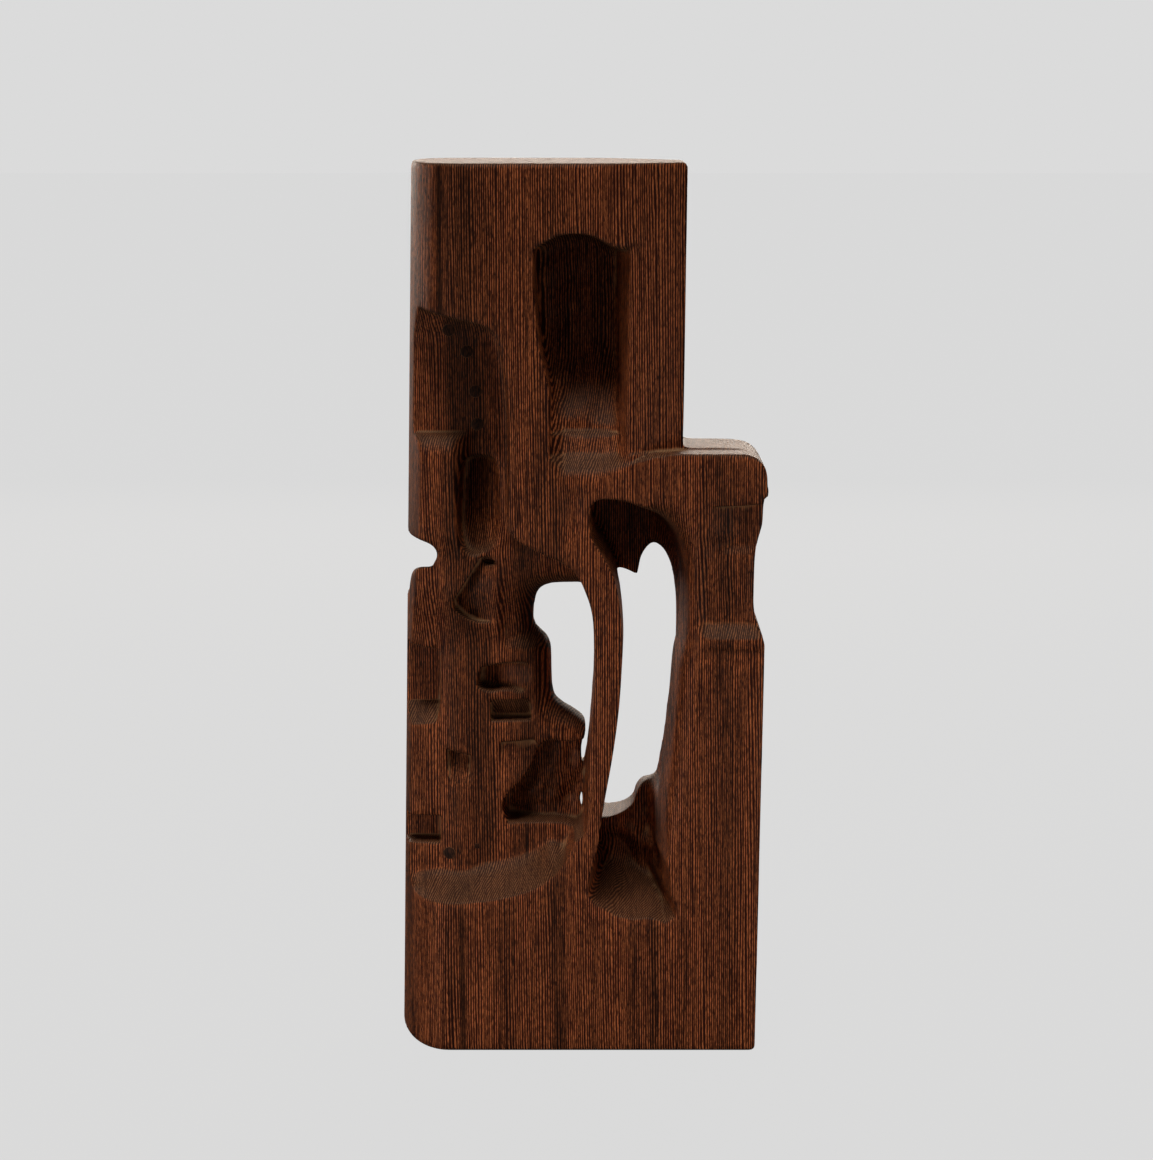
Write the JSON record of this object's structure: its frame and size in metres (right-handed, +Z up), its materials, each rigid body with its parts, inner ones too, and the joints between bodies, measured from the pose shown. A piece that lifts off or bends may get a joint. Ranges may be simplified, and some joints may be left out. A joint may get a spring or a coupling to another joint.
{
  "type": "abstract wood sculpture",
  "caption": "Upright abstract sculpture carved from solid dark open-grained wood, with pierced openings, scooped recesses and small end-grain plugs; stands on its flat foot.",
  "frame": {"origin": "middle of the box around the part, at the level of the underside", "axes": "+Z up along the wood's grain; the carved front faces -Y, and the arm points to +X"},
  "size_m": [0.1791, 0.091, 0.432],
  "materials": {
    "block_wood": "oiled satin wenge with open straight grain",
    "plug_wood": "oiled end grain"
  },
  "bodies": {
    "root": {"carved_block": "block_wood", "plug_upper_first": "plug_wood", "plug_upper_second": "plug_wood", "plug_upper_third": "plug_wood", "plug_upper_fourth": "plug_wood", "plug_lower": "plug_wood", "pin_lower": "plug_wood"}
  },
  "joints": []
}
